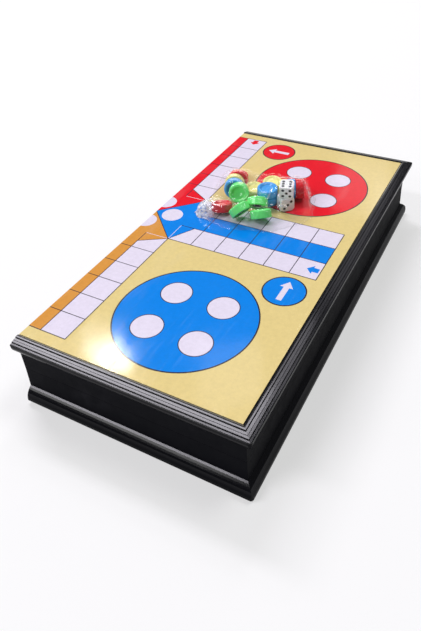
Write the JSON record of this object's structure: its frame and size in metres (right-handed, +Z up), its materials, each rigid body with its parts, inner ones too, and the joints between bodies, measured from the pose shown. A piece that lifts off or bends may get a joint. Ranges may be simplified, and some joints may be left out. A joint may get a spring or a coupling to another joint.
{
  "type": "folding magnetic ludo board",
  "caption": "Folding black plastic case with a steel-backed printed ludo board on both outer faces, shut, with a clear bag of magnetic counters and dice lying on it.",
  "frame": {"origin": "bottom centre of the shut case on the surface it lies on", "axes": "+X across the case away from the fold edge, +Y along the fold, +Z up"},
  "size_m": [0.164, 0.322, 0.0783],
  "materials": {
    "case_black": "satin moulded black plastic",
    "sheet_steel": "bare tin-plated sheet",
    "print_yellow": "glossy laminated print, pale yellow ground",
    "ink_white": "glossy laminated print, lavender white",
    "ink_blue": "glossy laminated print, blue",
    "ink_red": "glossy laminated print, red",
    "ink_green": "glossy laminated print, green",
    "ink_orange": "glossy laminated print, orange",
    "ink_line": "glossy laminated print, dark outline",
    "pin_steel": "drawn steel wire",
    "counter_red": "moulded red plastic",
    "counter_blue": "moulded blue plastic",
    "counter_yellow": "moulded yellow plastic",
    "counter_green": "moulded green plastic",
    "magnet_grey": "dark ferrite",
    "die_white": "moulded white plastic",
    "pip_black": "black filled pips",
    "film_clear": "clear crinkled film"
  },
  "bodies": {
    "lower_half": {"lower_shell": "case_black", "lower_steel_sheet": "sheet_steel", "lower_print_sheet": "print_yellow", "lower_ink_white": "ink_white", "lower_ink_green": "ink_green", "lower_ink_orange": "ink_orange", "lower_ink_red": "ink_red", "lower_ink_line": "ink_line", "near_hinge_pin": "pin_steel", "far_hinge_pin": "pin_steel"},
    "upper_half": {"upper_shell": "case_black", "upper_steel_sheet": "sheet_steel", "upper_print_sheet": "print_yellow", "upper_ink_white": "ink_white", "upper_ink_blue": "ink_blue", "upper_ink_red": "ink_red", "upper_ink_orange": "ink_orange", "upper_ink_line": "ink_line"},
    "bag_of_pieces": {"counter_bag": "film_clear", "red_counter_1": "counter_red", "red_counter_2": "counter_red", "red_counter_3": "counter_red", "red_counter_4": "counter_red", "blue_counter_1": "counter_blue", "blue_counter_2": "counter_blue", "blue_counter_3": "counter_blue", "blue_counter_4": "counter_blue", "yellow_counter_1": "counter_yellow", "yellow_counter_2": "counter_yellow", "yellow_counter_3": "counter_yellow", "yellow_counter_4": "counter_yellow", "green_counter_1": "counter_green", "green_counter_2": "counter_green", "green_counter_3": "counter_green", "green_counter_4": "counter_green", "red_counter_magnets": "magnet_grey", "blue_counter_magnets": "magnet_grey", "yellow_counter_magnets": "magnet_grey", "green_counter_magnets": "magnet_grey", "front_die": "die_white", "rear_die": "die_white", "front_die_pips": "pip_black", "rear_die_pips": "pip_black"}
  },
  "joints": [
    {"name": "fold_hinge", "type": "hinge", "parent": "lower_half", "child": "upper_half", "pos_m": [-0.079, 0, 0.027], "axis": [0, -1, 0], "range_deg": [0, 180]},
    {"name": "bag_lift", "type": "slide", "parent": "upper_half", "child": "bag_of_pieces", "axis": [0, 0, 1], "range_m": [0, 0.12]}
  ]
}
